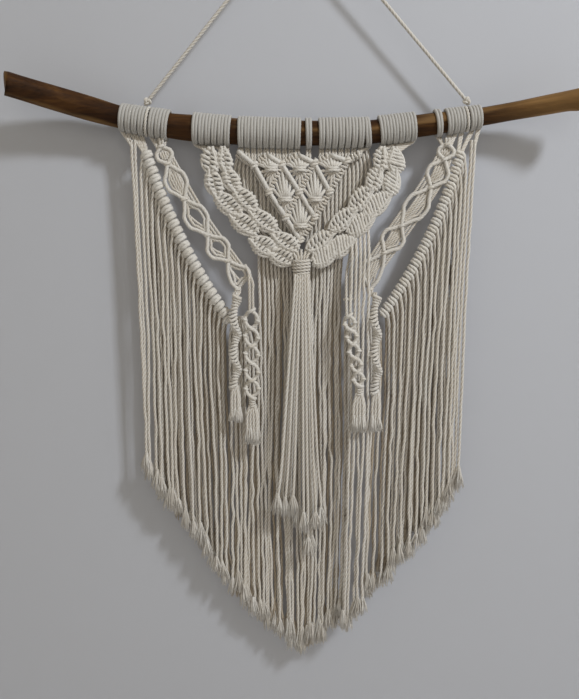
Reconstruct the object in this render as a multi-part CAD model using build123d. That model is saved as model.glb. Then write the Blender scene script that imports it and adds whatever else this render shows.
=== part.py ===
"""Knotted cotton wall hanging on a driftwood branch.

Frame: the origin is where the hanger cord rests on its wall hook. +X is to the right,
+Z is up and the front faces -Y. Drops are measured down from the branch's middle.
"""
from build123d import *
import math
import os

os.makedirs("parts", exist_ok=True)

# Cords, millimetres
CORD = 3.0
HANGER_CORD = 3.5
STRAND = 2.7
HOOK_TURN_RADIUS = 8.0
HOOK_CORNER_Z = 5.74      # where the two straight legs would meet, above the hook
CLEARANCE = 0.5

# Branch: x, y, z and radius of the wood at each station, left to right
BRANCH_Z = -191.0
BRANCH_STATIONS = [
    (-269, -24, -149.3, 10.6),
    (-240, -13, -157.5, 10.8),
    (-214, -5, -164.5, 11.4),
    (-172, 0, -176, 9.9),
    (-117, 0, -185, 11.8),
    (-60, 0, -189.5, 11.6),
    (0, 0, -191, 11.5),
    (60, 0, -190, 11.4),
    (117, 0, -183, 10.4),
    (168, 0, -175.8, 8.2),
    (214, -8, -168.2, 8.3),
    (262, -24, -160.5, 9.2),
]
BRANCH_KNOTS = [
    (-212, -12, -170, 6.5),
    (-126, -6, -183, 8),
    (254, -22, -165.5, 8),
]

# Lark's heads on the branch: first middle, pitch and how many, for each group
MOUNT_WIDTH = 5.2
MOUNT_GROUPS = {
    "mount_knots_left_outer": [(-169.6, 6.0, 4), (-141.6, 6.0, 3)],
    "mount_knots_left_inner": [(-101.2, 6.0, 6)],
    "mount_knots_centre_left": [(-58.4, 5.95, 10)],
    "mount_knots_centre_single": [(5.6, 6.0, 1)],
    "mount_knots_centre_right": [(18.1, 6.15, 8)],
    "mount_knots_right_inner": [(75.4, 5.7, 6)],
    "mount_knots_right_outer": [(128.2, 6.0, 1), (138.4, 5.7, 3), (160.0, 5.7, 2)],
}
TIE_X = {"left": -146.6, "right": 154.8}
TIE_WIDTH = 3.0
TIE_KNOT = 3.8
TIE_KNOT_RISE = 3.4       # the knot's middle above the outside of the turn

# Depths of the layers (y of their middles; the wall side is positive)
ROW_Y = -5.5
FRINGE_Y = -4.0
FRINGE_STAGGER = 3.2      # every second strand under a row hangs this much nearer the wall
BACK_Y = 1.0
SECOND_LAYER = 4.2        # how much nearer the wall the second strand of each cord hangs
NET_Y = -4.5
LEAF_Y = -8.5
FLOWER_Y = -9.3
TAIL_Y = -14.0
FRONT_STRAND_Y = -21.0
TASSEL_Y = -15.0

# Wings: the slanting row of hitches, the strands under it, and the outer strands
ROW_START = {"left": (-149.0, 16.0), "right": (150.0, 16.0)}
ROW_END = {"left": (-71.0, 180.0), "right": (79.0, 174.0)}
ROW_BULGE = {"left": 7.5, "right": 8.5}
ROW_HITCHES = 24
HITCH_RADIUS = 4.2
HITCH_WIDTH = 6.4
STRAND_OFFSET = 6.8
STRAND_START = 7.0
OUTER_STRANDS = {"left": (-162.4, -159.1), "right": (160.2, 163.4)}
OUTER_STRAND_TOP = 5.0
BEHIND_TAIL_STRANDS = {
    "left": (-73.0, -69.2, -65.4, -61.6, -57.8, -54.0, -50.2, -46.4),
    "right": (44.0, 47.8, 70.2, 74.0, 77.8),
}
BEHIND_TAIL_TOP = 190.0

# Lower edge of the fringe
FRINGE_DROP = 556.0
FRINGE_RISE = {"left": 212.0, "right": 185.0}
FRINGE_HALF_WIDTH = 160.0
FRINGE_POWER = 1.35
FRINGE_UNEVEN = 5.0       # ends differ by up to twice this

# Diamond bands: middle of each crossing, then the half widths of the diamonds between
BAND_CROSSINGS = {
    "left": [(-134, 12), (-128.5, 28), (-113.5, 61), (-92, 95), (-72.5, 120), (-63.5, 148)],
    "right": [(137, 10), (135, 24), (123, 50), (96, 86), (80, 112), (67, 148)],
}
BAND_HALF_WIDTHS = [7, 9.5, 10, 10, 9.5]
LAST_DIAMOND_SHIFT = 6.0  # the last diamond leans this far towards the middle
BAND_BAR_RADIUS = 2.4
BAND_CROSSING_RADIUS = 3.4

# Leaf bands: middle, length, width and lean (degrees from upright) of each leaf
LEAF_THICKNESS = 6.5
LEAVES_LEFT_OUTER = [
    (-87.5, 25, 19, 14, 4),
    (-84.5, 45, 22, 13, -14),
    (-72, 65, 27, 14, -38),
    (-57, 83.5, 27, 14, -42),
    (-30, 109.5, 43, 15, -48),
]
LEAVES_LEFT_INNER = [
    (-74, 24, 18, 11, -6),
    (-68.5, 42, 20, 12, -22),
    (-56, 60, 25, 13, -38),
    (-39, 80, 27, 13, -45),
    (-17, 101, 25, 13, -50),
]

# Centre net of hitched bars, and the flowers in its openings
NET_ROWS = [
    [(-46, 29), (-20, 28), (11, 27), (42, 25)],
    [(-32, 54), (-3, 54), (26, 54)],
    [(-16, 78), (12, 78)],
    [(-2, 100)],
]
NET_TOPS = [(-58, 20), (-33, 20), (-4, 20), (26, 20), (56, 19)]
NET_BAR_RADIUS = 2.0
NET_NODE_RADIUS = 3.0
FLOWERS = [(-30, 33), (-3, 33), (28, 33), (-17, 61), (12, 61), (-2, 86)]
FLOWER_SIZE = (9.0, 5.0, 8.0)
SIDE_STRANDS_LEFT = [-65, -61, -57, -53, -49, -45, -41, -37]
SIDE_STRANDS_RIGHT = [37, 41, 45, 49, 53, 57, 61, 65]
SIDE_TOP = 24.0
SIDE_BOTTOM = 126.0
SIDE_BOTTOM_RISE = 0.75   # how much higher the strands end for each millimetre outward
UNDER_NET_LEFT = [-33, -29, -25, -21, -17, -13, -9]
UNDER_NET_RIGHT = [5, 9, 13, 17, 21, 25, 29, 33]

# Gathering knot at the tip of the V and the tassel under it
GATHER = {"top": 118.0, "bottom": 133.0, "radius": 9.5}
TASSEL_TOP = 140.0
TASSEL_END = 430.0
TASSEL_TOP_HALF = 8.0
TASSEL_END_HALF = 23.0
TASSEL_THICKNESS = 11.0

# Centre fringe behind the tassel, and the strands that hang over the right band
CENTRE_STRANDS_X = (-42.0, 38.0)
CENTRE_STRAND_PITCH = 3.8
CENTRE_STRAND_TOP = 129.0
CENTRE_TOP_RISE = 0.75    # how much higher the strands start for each millimetre outward
FRONT_STRANDS_X = (48.0, 52.1, 56.2, 60.3, 64.4)
FRONT_STRAND_TOP = 100.0

# Tails: x and drop of the spiral's top and foot, and of the ladder's
SPIRAL = {"left": ((-66, 153), (-67, 246)), "right": ((71, 153), (75, 252))}
SPIRAL_RADIUS = 4.8
SPIRAL_TUFT_END = {"left": 284.0, "right": 294.0}
LADDER = {"left": ((-50, 168), (-50, 256)), "right": ((45, 172), (57, 242))}
LADDER_WIDTH = 14.0
LADDER_KNOTS = 6
LADDER_TUFT_END = {"left": 308.0, "right": 293.0}
TUFT_STRAND_GAP = 3.1


def point(x, drop, y=0.0):
    """A point in the row frame from its x, its drop below the branch and its depth."""
    return Vector(x, y, BRANCH_Z - drop)


def rod(start, end, radius):
    """A straight round rod between two points."""
    along = end - start
    plane = Plane(origin=start, z_dir=along)
    return Solid.make_cylinder(radius, along.length, plane)


def ball(centre, radius):
    """A round knot."""
    return Pos(centre.X, centre.Y, centre.Z) * Sphere(radius).solid()


def ring(centre, along, inner, outer, width):
    """A ring of cord around an axis."""
    plane = Plane(origin=centre - along.normalized() * (width / 2), z_dir=along)
    return Solid.make_cylinder(outer, width, plane) - Solid.make_cylinder(inner, width, plane)


def strand(x, y, top, bottom):
    """One straight hanging strand between two drops."""
    return rod(point(x, top, y), point(x, bottom, y), STRAND / 2)


def block(centre, size):
    """A small rounded block for a flat knot."""
    solid = Pos(centre.X, centre.Y, centre.Z) * Box(*size)
    return fillet(solid.edges(), min(size) * 0.3).solid()


def write(name, solids):
    """Writes one node, a single solid or a group of separate solids."""
    shape = solids[0] if len(solids) == 1 else Compound(solids)
    export_step(shape, os.path.join("parts", name + ".step"))


def branch_at(x):
    """Middle, direction and radius of the branch at an x between its stations."""
    for left, right in zip(BRANCH_STATIONS, BRANCH_STATIONS[1:]):
        if left[0] <= x <= right[0]:
            share = (x - left[0]) / (right[0] - left[0])
            middle = Vector(*left[:3]) + (Vector(*right[:3]) - Vector(*left[:3])) * share
            radius = left[3] + (right[3] - left[3]) * share
            return middle, Vector(*right[:3]) - Vector(*left[:3]), radius
    raise ValueError("x is off the branch")


def fringe_end(x):
    """Drop of the fringe's lower edge at an x."""
    side = "left" if x < 0 else "right"
    share = abs(x) / FRINGE_HALF_WIDTH
    uneven = FRINGE_UNEVEN * (1 + math.sin(1.9 * x))
    return FRINGE_DROP - FRINGE_RISE[side] * share ** FRINGE_POWER - uneven


def driftwood_branch():
    """The bent branch: tapered lengths joined with round knees, and three knots."""
    wood = None
    for left, right in zip(BRANCH_STATIONS, BRANCH_STATIONS[1:]):
        start = Vector(*left[:3])
        end = Vector(*right[:3])
        plane = Plane(origin=start, z_dir=end - start)
        length = Solid.make_cone(left[3], right[3], (end - start).length, plane)
        wood = length if wood is None else wood.fuse(length)
    for x, y, z, radius in BRANCH_STATIONS[1:-1]:
        wood = wood.fuse(ball(Vector(x, y, z), radius * 1.003))
    for x, y, z, radius in BRANCH_KNOTS:
        wood = wood.fuse(ball(Vector(x, y, z), radius))
    return [wood.solid()]


def mount_knots(runs):
    """One ring for each lark's head in a group on the branch."""
    rings = []
    for first, pitch, count in runs:
        for index in range(count):
            middle, along, radius = branch_at(first + pitch * index)
            inner = radius + CLEARANCE
            rings.append(ring(middle, along, inner, inner + CORD, MOUNT_WIDTH))
    return rings


def hanger_tie(side):
    """The hanger cord's turn around the branch, and the knot on top of it."""
    middle, along, radius = branch_at(TIE_X[side])
    inner = radius + CLEARANCE
    outer = inner + HANGER_CORD
    turn = ring(middle, along, inner, outer, TIE_WIDTH)
    knot = ball(middle + Vector(0, 0, outer + TIE_KNOT_RISE), TIE_KNOT)
    return [turn.fuse(knot).solid()]


def hanger_exit(side):
    """Where the hanger cord leaves its knot, on the line to the hook."""
    middle, along, radius = branch_at(TIE_X[side])
    knot_z = middle.Z + radius + CLEARANCE + HANGER_CORD + TIE_KNOT_RISE
    knot = Vector(TIE_X[side], 0, knot_z)
    apex = Vector(0, 0, HOOK_CORNER_Z)
    return knot + (apex - knot).normalized() * (TIE_KNOT + 0.2)


def hanger_cord():
    """The taut hanger cord: two straight legs and one turn over the hook."""
    corner = Vector(0, 0, HOOK_CORNER_Z)
    path = FilletPolyline(hanger_exit("left"), corner, hanger_exit("right"), radius=HOOK_TURN_RADIUS)
    section = Plane(origin=path @ 0, z_dir=path % 0) * Circle(HANGER_CORD / 2)
    tube = sweep(section, path=path).solid()
    expected = math.pi * (HANGER_CORD / 2) ** 2 * path.length
    print("hanger cord: length", round(path.length, 1), "radius", HOOK_TURN_RADIUS,
          "top", round(tube.bounding_box().max.Z, 2), "volume share", round(tube.volume / expected, 4))
    return [tube]


def row_point(side, share):
    """A point on the middle line of a wing's row, as x and drop."""
    x0, d0 = ROW_START[side]
    x1, d1 = ROW_END[side]
    length = math.hypot(x1 - x0, d1 - d0)
    bulge = 4 * ROW_BULGE[side] * share * (1 - share)
    outward = -1 if side == "left" else 1
    x = x0 + (x1 - x0) * share + outward * bulge * (d1 - d0) / length
    drop = d0 + (d1 - d0) * share + bulge * abs(x1 - x0) / length
    return x, drop


def wing_row(side):
    """The hitches of a wing's slanting row, each a ring around the holding cord."""
    hitches = []
    for index in range(ROW_HITCHES):
        share = (index + 0.5) / ROW_HITCHES
        middle = point(*row_point(side, share), ROW_Y)
        ahead = point(*row_point(side, share + 0.01), ROW_Y)
        hitches.append(ring(middle, ahead - middle, CORD / 2 + 0.4, HITCH_RADIUS, HITCH_WIDTH))
    return hitches


def holding_cord(side):
    """The cord inside a wing's row, along the row's curve."""
    points = [point(*row_point(side, share), ROW_Y) for share in (0.0, 0.5, 1.0)]
    path = ThreePointArc(*points)
    section = Plane(origin=path @ 0, z_dir=path % 0) * Circle(CORD / 2)
    return [sweep(section, path=path).solid()]


def wing_fringe(side, first, last):
    """The strands that hang from some of a wing's hitches."""
    outward = -1 if side == "left" else 1
    strands = []
    for index in range(first, last):
        x, drop = row_point(side, (index + 0.5) / ROW_HITCHES)
        x += outward * STRAND_OFFSET
        stagger = FRINGE_STAGGER * (index % 2)
        strands.append(strand(x, FRINGE_Y + stagger, drop + STRAND_START, fringe_end(x)))
        behind_x = x - outward * CORD / 2
        behind_y = BACK_Y + SECOND_LAYER + stagger
        strands.append(strand(behind_x, behind_y, drop + STRAND_START, fringe_end(behind_x)))
    return strands


def straight_strands(places, y, top, rise=0.0):
    """Strands that hang free to the fringe's lower edge, from tops that rise outward."""
    return [strand(x, y, top - rise * abs(x), fringe_end(x)) for x in places]


def two_layers(places, y, top, rise=0.0):
    """Such strands, with the second strand of each cord nearer the wall and between them."""
    behind = [x + CENTRE_STRAND_PITCH / 2 for x in places]
    return straight_strands(places, y, top, rise) + straight_strands(behind, y + SECOND_LAYER, top, rise)


def diamond_band(side):
    """The hitched bars of a band, two on each side of every diamond, and its crossings."""
    crossings = BAND_CROSSINGS[side]
    solids = [ball(point(x, drop, ROW_Y), BAND_CROSSING_RADIUS) for x, drop in crossings]
    inward = 1 if side == "left" else -1
    for (upper, lower, half) in zip(crossings, crossings[1:], BAND_HALF_WIDTHS):
        shift = inward * LAST_DIAMOND_SHIFT if lower is crossings[-1] else 0
        top = point(*upper, ROW_Y)
        foot = point(*lower, ROW_Y)
        across = (foot - top).normalized().cross(Vector(0, 1, 0))
        for way in (-1, 1):
            corner = (top + foot) * 0.5 + across * (half * way) + Vector(shift, 0, 0)
            for end in (top, foot):
                along = (end - corner).normalized()
                gap = BAND_CROSSING_RADIUS + 0.3
                solids.append(rod(corner + along * 2.6, end - along * gap, BAND_BAR_RADIUS))
    return solids


def leaf(x, drop, length, width, lean):
    """One leaf of the leaf band: a plate with two curved sides that meet in points."""
    plane = Plane(origin=point(x, drop, LEAF_Y + LEAF_THICKNESS / 2), x_dir=(1, 0, 0), z_dir=(0, -1, 0))
    foot = (0, -length / 2)
    tip = (0, length / 2)
    right = ThreePointArc(foot, (width / 2, 0), tip)
    left = ThreePointArc(tip, (-width / 2, 0), foot)
    plate = extrude(make_face([right, left]), amount=LEAF_THICKNESS)
    return (plane * Rot(0, 0, -lean) * plate).solid()


def leaf_band(leaves, way):
    """A row of leaves on the left (way 1) or mirrored on the right (way -1)."""
    return [leaf(x * way, drop, length, width, lean * way) for x, drop, length, width, lean in leaves]


def net_bars():
    """The net's hitched bars: zigzags from each row of crossings to the next."""
    rows = [NET_TOPS] + NET_ROWS
    solids = []
    for row in rows[1:]:
        for x, drop in row:
            solids.append(ball(point(x, drop, NET_Y), NET_NODE_RADIUS))
    for upper, lower in zip(rows, rows[1:]):
        for index, (x, drop) in enumerate(lower):
            foot = point(x, drop, NET_Y)
            for end in upper[index:index + 2]:
                top = point(*end, NET_Y)
                along = (top - foot).normalized()
                gap = NET_NODE_RADIUS + 0.4
                solids.append(rod(foot + along * gap, top - along * gap, NET_BAR_RADIUS))
    return solids


def flowers():
    """The square knot in the middle of each flower."""
    return [block(point(x, drop, FLOWER_Y), FLOWER_SIZE) for x, drop in FLOWERS]


def side_strands(places):
    """Straight strands from the branch down behind the leaf band, outside the net."""
    return [strand(x, BACK_Y, SIDE_TOP, SIDE_BOTTOM - SIDE_BOTTOM_RISE * abs(x)) for x in places]


def net_underside(x):
    """Drop of the net's lower edge at an x."""
    corners = sorted([row[0] for row in NET_ROWS] + [row[-1] for row in NET_ROWS[:-1]])
    for left, right in zip(corners, corners[1:]):
        if left[0] <= x <= right[0]:
            return left[1] + (right[1] - left[1]) * (x - left[0]) / (right[0] - left[0])
    raise ValueError("x is not under the net")


def under_net_strands(places):
    """Straight strands from the net's lower edge down behind the leaf bands."""
    return [strand(x, BACK_Y, net_underside(x), SIDE_BOTTOM - SIDE_BOTTOM_RISE * abs(x)) for x in places]


def gathering_knot():
    """The wrap that gathers the cords at the tip of the V."""
    span = GATHER["bottom"] - GATHER["top"]
    wrap = Cylinder(GATHER["radius"], span)
    middle = point(-1, (GATHER["top"] + GATHER["bottom"]) / 2, LEAF_Y - 3)
    return [(Pos(middle.X, middle.Y, middle.Z) * fillet(wrap.edges(), 3)).solid()]


def centre_tassel():
    """The front bundle that hangs from the gathering knot, wider at its foot."""
    outline = [
        (-TASSEL_TOP_HALF - 1, -TASSEL_TOP),
        (TASSEL_TOP_HALF - 1, -TASSEL_TOP),
        (TASSEL_END_HALF, -TASSEL_TOP - 130),
        (TASSEL_END_HALF - 1, -TASSEL_END),
        (2 - TASSEL_END_HALF, -TASSEL_END),
        (1 - TASSEL_END_HALF, -TASSEL_TOP - 130),
    ]
    plane = Plane(origin=(0, TASSEL_Y + TASSEL_THICKNESS / 2, BRANCH_Z), x_dir=(1, 0, 0), z_dir=(0, -1, 0))
    bundle = extrude(make_face(Polyline(*outline, close=True)), amount=TASSEL_THICKNESS)
    return [(plane * fillet(bundle.edges().filter_by(Axis.Z), 3)).solid()]


def centre_fringe():
    """The strands behind the tassel, in three groups from left to right."""
    first, last = CENTRE_STRANDS_X
    count = int((last - first) / CENTRE_STRAND_PITCH) + 1
    places = [first + CENTRE_STRAND_PITCH * index for index in range(count)]
    third = count // 3
    groups = {"left": places[:third], "middle": places[third:-third], "right": places[-third:]}
    return {name: two_layers(group, BACK_Y, CENTRE_STRAND_TOP, CENTRE_TOP_RISE)
            for name, group in groups.items()}


def spiral_sennit(side):
    """A round sennit of half knots."""
    (x0, d0), (x1, d1) = SPIRAL[side]
    return [rod(point(x0, d0, TAIL_Y), point(x1, d1, TAIL_Y), SPIRAL_RADIUS)]


def tuft(x, top, bottom, count):
    """A few short strands side by side."""
    first = x - TUFT_STRAND_GAP * (count - 1) / 2
    return [strand(first + TUFT_STRAND_GAP * index, TAIL_Y, top, bottom) for index in range(count)]


def ladder_place(side, share):
    """A point down the middle of a ladder sennit."""
    (x0, d0), (x1, d1) = LADDER[side]
    return point(x0 + (x1 - x0) * share, d0 + (d1 - d0) * share, TAIL_Y)


def ladder_sennit(side):
    """An open sennit: square knots one under the other, with gaps between."""
    (x0, d0), (x1, d1) = LADDER[side]
    pitch = (d1 - d0) / LADDER_KNOTS
    knots = []
    for index in range(LADDER_KNOTS):
        centre = ladder_place(side, (index + 0.5) / LADDER_KNOTS)
        knots.append(block(centre, (LADDER_WIDTH * (1 - 0.04 * index), 6.5, pitch - 1.2)))
    return knots


def ladder_wrap(side):
    """The short wrap that ends a ladder sennit."""
    (x0, d0), (x1, d1) = LADDER[side]
    return [rod(point(x1, d1 + 0.5, TAIL_Y), point(x1, d1 + 10, TAIL_Y), 3.8)]


def tail_cords(side):
    """The pair of cords from the band's last diamond down to the ladder sennit."""
    (x0, d0), (x1, d1) = LADDER[side]
    return [strand(x0 - 1.7, TAIL_Y, 132, d0 - 0.5), strand(x0 + 1.7, TAIL_Y, 132, d0 - 0.5)]


write("hanger_cord", hanger_cord())
write("driftwood_branch", driftwood_branch())
for group, runs in MOUNT_GROUPS.items():
    write(group, mount_knots(runs))
write("leaf_band_left_outer", leaf_band(LEAVES_LEFT_OUTER, 1))
write("leaf_band_left_inner", leaf_band(LEAVES_LEFT_INNER, 1))
write("leaf_band_right_outer", leaf_band(LEAVES_LEFT_OUTER, -1))
write("leaf_band_right_inner", leaf_band(LEAVES_LEFT_INNER, -1))
write("diamond_net", net_bars())
write("net_flowers", flowers())
write("side_strands_left", side_strands(SIDE_STRANDS_LEFT) + under_net_strands(UNDER_NET_LEFT))
write("side_strands_right", side_strands(SIDE_STRANDS_RIGHT) + under_net_strands(UNDER_NET_RIGHT))
write("gathering_knot", gathering_knot())
write("centre_tassel", centre_tassel())
for part_of_fringe, strands in centre_fringe().items():
    write("centre_fringe_" + part_of_fringe, strands)
write("front_strands_right", straight_strands(FRONT_STRANDS_X, FRONT_STRAND_Y, FRONT_STRAND_TOP))
for side in ("left", "right"):
    write("hanger_knot_" + side, hanger_tie(side))
    write("wing_row_" + side, wing_row(side))
    write("holding_cord_" + side, holding_cord(side))
    write("diamond_band_" + side, diamond_band(side))
    write("outer_strands_" + side, straight_strands(OUTER_STRANDS[side], FRINGE_Y, OUTER_STRAND_TOP))
    write("wing_fringe_outer_" + side, wing_fringe(side, 0, 8))
    write("wing_fringe_middle_" + side, wing_fringe(side, 8, 16))
    write("wing_fringe_inner_" + side, wing_fringe(side, 16, 24))
    write("fringe_behind_tails_" + side,
          two_layers(BEHIND_TAIL_STRANDS[side], BACK_Y, BEHIND_TAIL_TOP))
    write("spiral_sennit_" + side, spiral_sennit(side))
    foot_x, foot_drop = SPIRAL[side][1]
    write("spiral_tuft_" + side, tuft(foot_x, foot_drop + 0.5, SPIRAL_TUFT_END[side], 3))
    write("ladder_cords_" + side, tail_cords(side))
    write("ladder_sennit_" + side, ladder_sennit(side))
    write("ladder_wrap_" + side, ladder_wrap(side))
    wrap_x, wrap_drop = LADDER[side][1]
    write("ladder_tuft_" + side, tuft(wrap_x, wrap_drop + 10.5, LADDER_TUFT_END[side], 4))
print("nodes", len([name for name in os.listdir("parts") if name.endswith(".step")]))
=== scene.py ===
"""Knotted cotton wall hanging on a driftwood branch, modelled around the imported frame.

Lengths are millimetres until a mesh is written. A place is given as x, the drop below the
branch's middle and y, where smaller y is nearer the viewer and larger y nearer the wall.
"""

import math

import bpy
import numpy as np
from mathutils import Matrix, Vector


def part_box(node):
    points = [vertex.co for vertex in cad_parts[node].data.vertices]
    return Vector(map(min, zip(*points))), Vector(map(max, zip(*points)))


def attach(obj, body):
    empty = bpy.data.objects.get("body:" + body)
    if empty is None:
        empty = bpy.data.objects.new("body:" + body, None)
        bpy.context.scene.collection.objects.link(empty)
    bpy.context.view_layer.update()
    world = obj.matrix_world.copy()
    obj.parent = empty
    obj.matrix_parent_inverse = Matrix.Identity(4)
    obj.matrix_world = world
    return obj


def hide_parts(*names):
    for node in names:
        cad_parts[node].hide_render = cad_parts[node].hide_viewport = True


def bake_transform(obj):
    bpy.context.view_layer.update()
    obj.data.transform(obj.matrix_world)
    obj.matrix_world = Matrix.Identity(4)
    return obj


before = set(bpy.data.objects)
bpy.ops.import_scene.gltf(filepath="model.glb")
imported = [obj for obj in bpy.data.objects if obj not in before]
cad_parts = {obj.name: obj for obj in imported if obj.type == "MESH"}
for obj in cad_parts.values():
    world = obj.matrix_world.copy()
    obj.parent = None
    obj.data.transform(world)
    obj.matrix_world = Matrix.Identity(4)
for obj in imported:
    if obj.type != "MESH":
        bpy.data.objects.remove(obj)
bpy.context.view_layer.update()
rng = np.random.default_rng(20)

MM = 0.001
FRONT = np.array([0.0, -1.0, 0.0])
DOWN = np.array([0.0, 0.0, -1.0])
SIDES = ("left", "right")

# Cords: radius, plies, length of one full twist, and spacing of the rings of a mesh tube
CORD = 3.0
R = CORD / 2
HANGER_CORD = 3.5
CORD_SIDES = 9
PLY_SIDES = 3
GROOVE = 0.72
LAY = 11.0
STEP = 1.3
WRAP_GROOVE = 0.95
STRAND_RADIUS = 1.58
STRAND_LAY = 17.0
BACK_LAYER_FROM = 3.0
BACK_STEP = 2.4
WRAP_RADIUS = 1.74
BAND_BAR = 2.05
NET_BAR = 2.35
LEAF_RIB = 1.72

# Frayed ends: length, spread and fibres of a strand's, then those of a tail's strand
FRAY = 20.0
FRAY_SPREAD = 7.6
FRAY_FIBRES = 52
FIBRE_THICKNESS = (0.45, 0.48, 0.45, 0.25)
FRAY_PALER = 0.5
TAIL_FRAY = 13
TAIL_FRAY_SPREAD = 4.2

# Branch: x, y, z and radius of the wood at each station, and its knots
BRANCH_Z = -191.0
BRANCH_STATIONS = np.array([
    (-269, -24, -149.3, 10.6),
    (-240, -13, -157.5, 10.8),
    (-214, -5, -164.5, 11.4),
    (-172, 0, -176, 9.9),
    (-117, 0, -185, 11.8),
    (-60, 0, -189.5, 11.6),
    (0, 0, -191, 11.5),
    (60, 0, -190, 11.4),
    (117, 0, -183, 10.4),
    (168, 0, -175.8, 8.2),
    (214, -8, -168.2, 8.3),
    (262, -24, -160.5, 9.2),
])
BRANCH_LUMPS = ((2, 0.035, 90), (3, 0.028, 61), (5, 0.014, 37), (9, 0.010, 120), (15, 0.009, 160))
BRANCH_KNOTS = [(-212, -12, -170, 6.5), (-126, -6, -183, 8), (254, -22, -165.5, 8)]

# Hanger cord: the ties on the branch and the corner over the hook
TIE_X = {"left": -146.6, "right": 154.8}
TIE_KNOT_RISE = 3.4
TIE_KNOT = 3.8
CLEARANCE = 0.5
HOOK_CORNER_Z = 5.74
HOOK_TURN_RADIUS = 8.0

# Layers' depths
ROW_Y = -5.5
NET_Y = -4.5
LEAF_Y = -8.5
TAIL_Y = -14.0

# Diamond bands and centre net
BAND_CROSSINGS = {
    "left": [(-134, 12), (-128.5, 28), (-113.5, 61), (-92, 95), (-72.5, 120), (-63.5, 148)],
    "right": [(137, 10), (135, 24), (123, 50), (96, 86), (80, 112), (67, 148)],
}
BAND_HALF_WIDTHS = [7, 9.5, 10, 10, 9.5]
LAST_DIAMOND_SHIFT = 6.0
NET_ROWS = [
    [(-62, 16), (-33, 20), (-4, 20), (26, 20), (56, 18)],
    [(-46, 29), (-20, 28), (11, 27), (42, 25)],
    [(-32, 54), (-3, 54), (26, 54)],
    [(-16, 78), (12, 78)],
    [(-2, 100)],
]

# Room: wall behind the hanging, floor, light and camera
WALL_Y = 21
FLOOR_Z = -850.0
CAMERA_PLACE = (-0.0125, -0.6947, -0.2534)
CAMERA_PITCH = 78.0
CAMERA_LENS = 36.05
WORLD_COLOUR = (1.0, 0.88, 0.66, 1)
WORLD_STRENGTH = 0.31
LIGHT_TARGET = (0, 0, -0.35)
# Lights: name, place, size, power and colour
LIGHTS = [
    ("key", (1.1, -1.08, 1.0), 0.24, 23.0, (0.95, 0.98, 1.0)),
    ("fill", (0.3, -2.6, 0.3), 2.0, 7.0, (1.0, 0.97, 0.93)),
    ("back", (-0.9, 2.4, 0.5), 1.8, 14.0, (1.0, 0.98, 0.96)),
]


# ---------------------------------------------------------------- geometry helpers

def at(x, drop, y=0.0):
    """A point from its x, its drop below the branch and its depth."""
    return np.array([x, y, BRANCH_Z - drop], float)


def unit(vector):
    return vector / np.linalg.norm(vector)


def solids(node):
    """The points of each separate solid in a CAD node, ordered from left to right."""
    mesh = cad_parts[node].data
    points = np.array([v.co for v in mesh.vertices], float) / MM
    edges = np.array([e.vertices[:] for e in mesh.edges])
    places, same = np.unique(np.round(points, 2), axis=0, return_inverse=True)
    same = same.reshape(-1)
    a, b = same[edges[:, 0]], same[edges[:, 1]]
    label = np.arange(len(places))
    while True:
        low = np.minimum(label[a], label[b])
        new = label.copy()
        np.minimum.at(new, a, low)
        np.minimum.at(new, b, low)
        new = new[new]
        if (new == label).all():
            break
        label = new
    groups = [places[label == k] for k in np.unique(label)]
    return sorted(groups, key=lambda g: g[:, 0].mean())


def middle(points):
    return (points.min(0) + points.max(0)) / 2


def long_axis(points):
    """The middle, the direction upward along the longest way, and half that length."""
    centre = points.mean(0)
    along = np.linalg.svd(points - centre, full_matrices=False)[2][0]
    along = along * (1 if along[2] > 0 else -1)
    reach = (points - centre) @ along
    centre = centre + along * (reach.max() + reach.min()) / 2
    return centre, along, (reach.max() - reach.min()) / 2


def branch_at(x):
    """Middle, direction and radius of the branch at an x."""
    x = np.clip(x, BRANCH_STATIONS[0, 0], BRANCH_STATIONS[-1, 0])
    row = [np.interp(x, BRANCH_STATIONS[:, 0], BRANCH_STATIONS[:, k]) for k in range(4)]
    index = int(np.clip(np.searchsorted(BRANCH_STATIONS[:, 0], x), 1, len(BRANCH_STATIONS) - 1))
    along = unit(BRANCH_STATIONS[index, :3] - BRANCH_STATIONS[index - 1, :3])
    return np.array(row[:3]), along, row[3]


def smooth_line(points, step):
    """Evenly spaced points on a smooth curve through the given ones."""
    points = np.asarray(points, float)
    ends = [2 * points[0] - points[1]], [2 * points[-1] - points[-2]]
    p = np.vstack([ends[0], points, ends[1]])
    t = np.linspace(0, 1, 9)[:-1, None]
    pieces = []
    for a, b, c, d in zip(p, p[1:], p[2:], p[3:]):
        pieces.append(0.5 * (2 * b + (c - a) * t + (2 * a - 5 * b + 4 * c - d) * t ** 2
                             + (3 * b - a - 3 * c + d) * t ** 3))
    fine = np.vstack(pieces + [points[-1:]])
    reach = np.concatenate([[0], np.cumsum(np.linalg.norm(np.diff(fine, axis=0), axis=1))])
    where = np.linspace(0, reach[-1], max(3, int(round(reach[-1] / step)) + 1))
    return np.column_stack([np.interp(where, reach, fine[:, k]) for k in range(3)])


def carried_side(tangent):
    """A direction square to a line at each of its points, carried along without turning."""
    now = np.eye(3)[np.argmin(np.abs(tangent[0]))]
    side = np.empty_like(tangent)
    for index, along in enumerate(tangent):
        now = now - along * (now @ along)
        now = now / math.sqrt(now @ now)
        side[index] = now
    return side


def add_object(name, data):
    """A new object in the scene."""
    made = bpy.data.objects.new(name, data)
    bpy.context.scene.collection.objects.link(made)
    return made


def blend_at(parent, child, y, start, end):
    """The two bodies, and the stretch between two drops where a piece passes from one to the other."""
    return parent, child, [0, y, (BRANCH_Z - start) * MM], [0, y, (BRANCH_Z - end) * MM]


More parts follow.
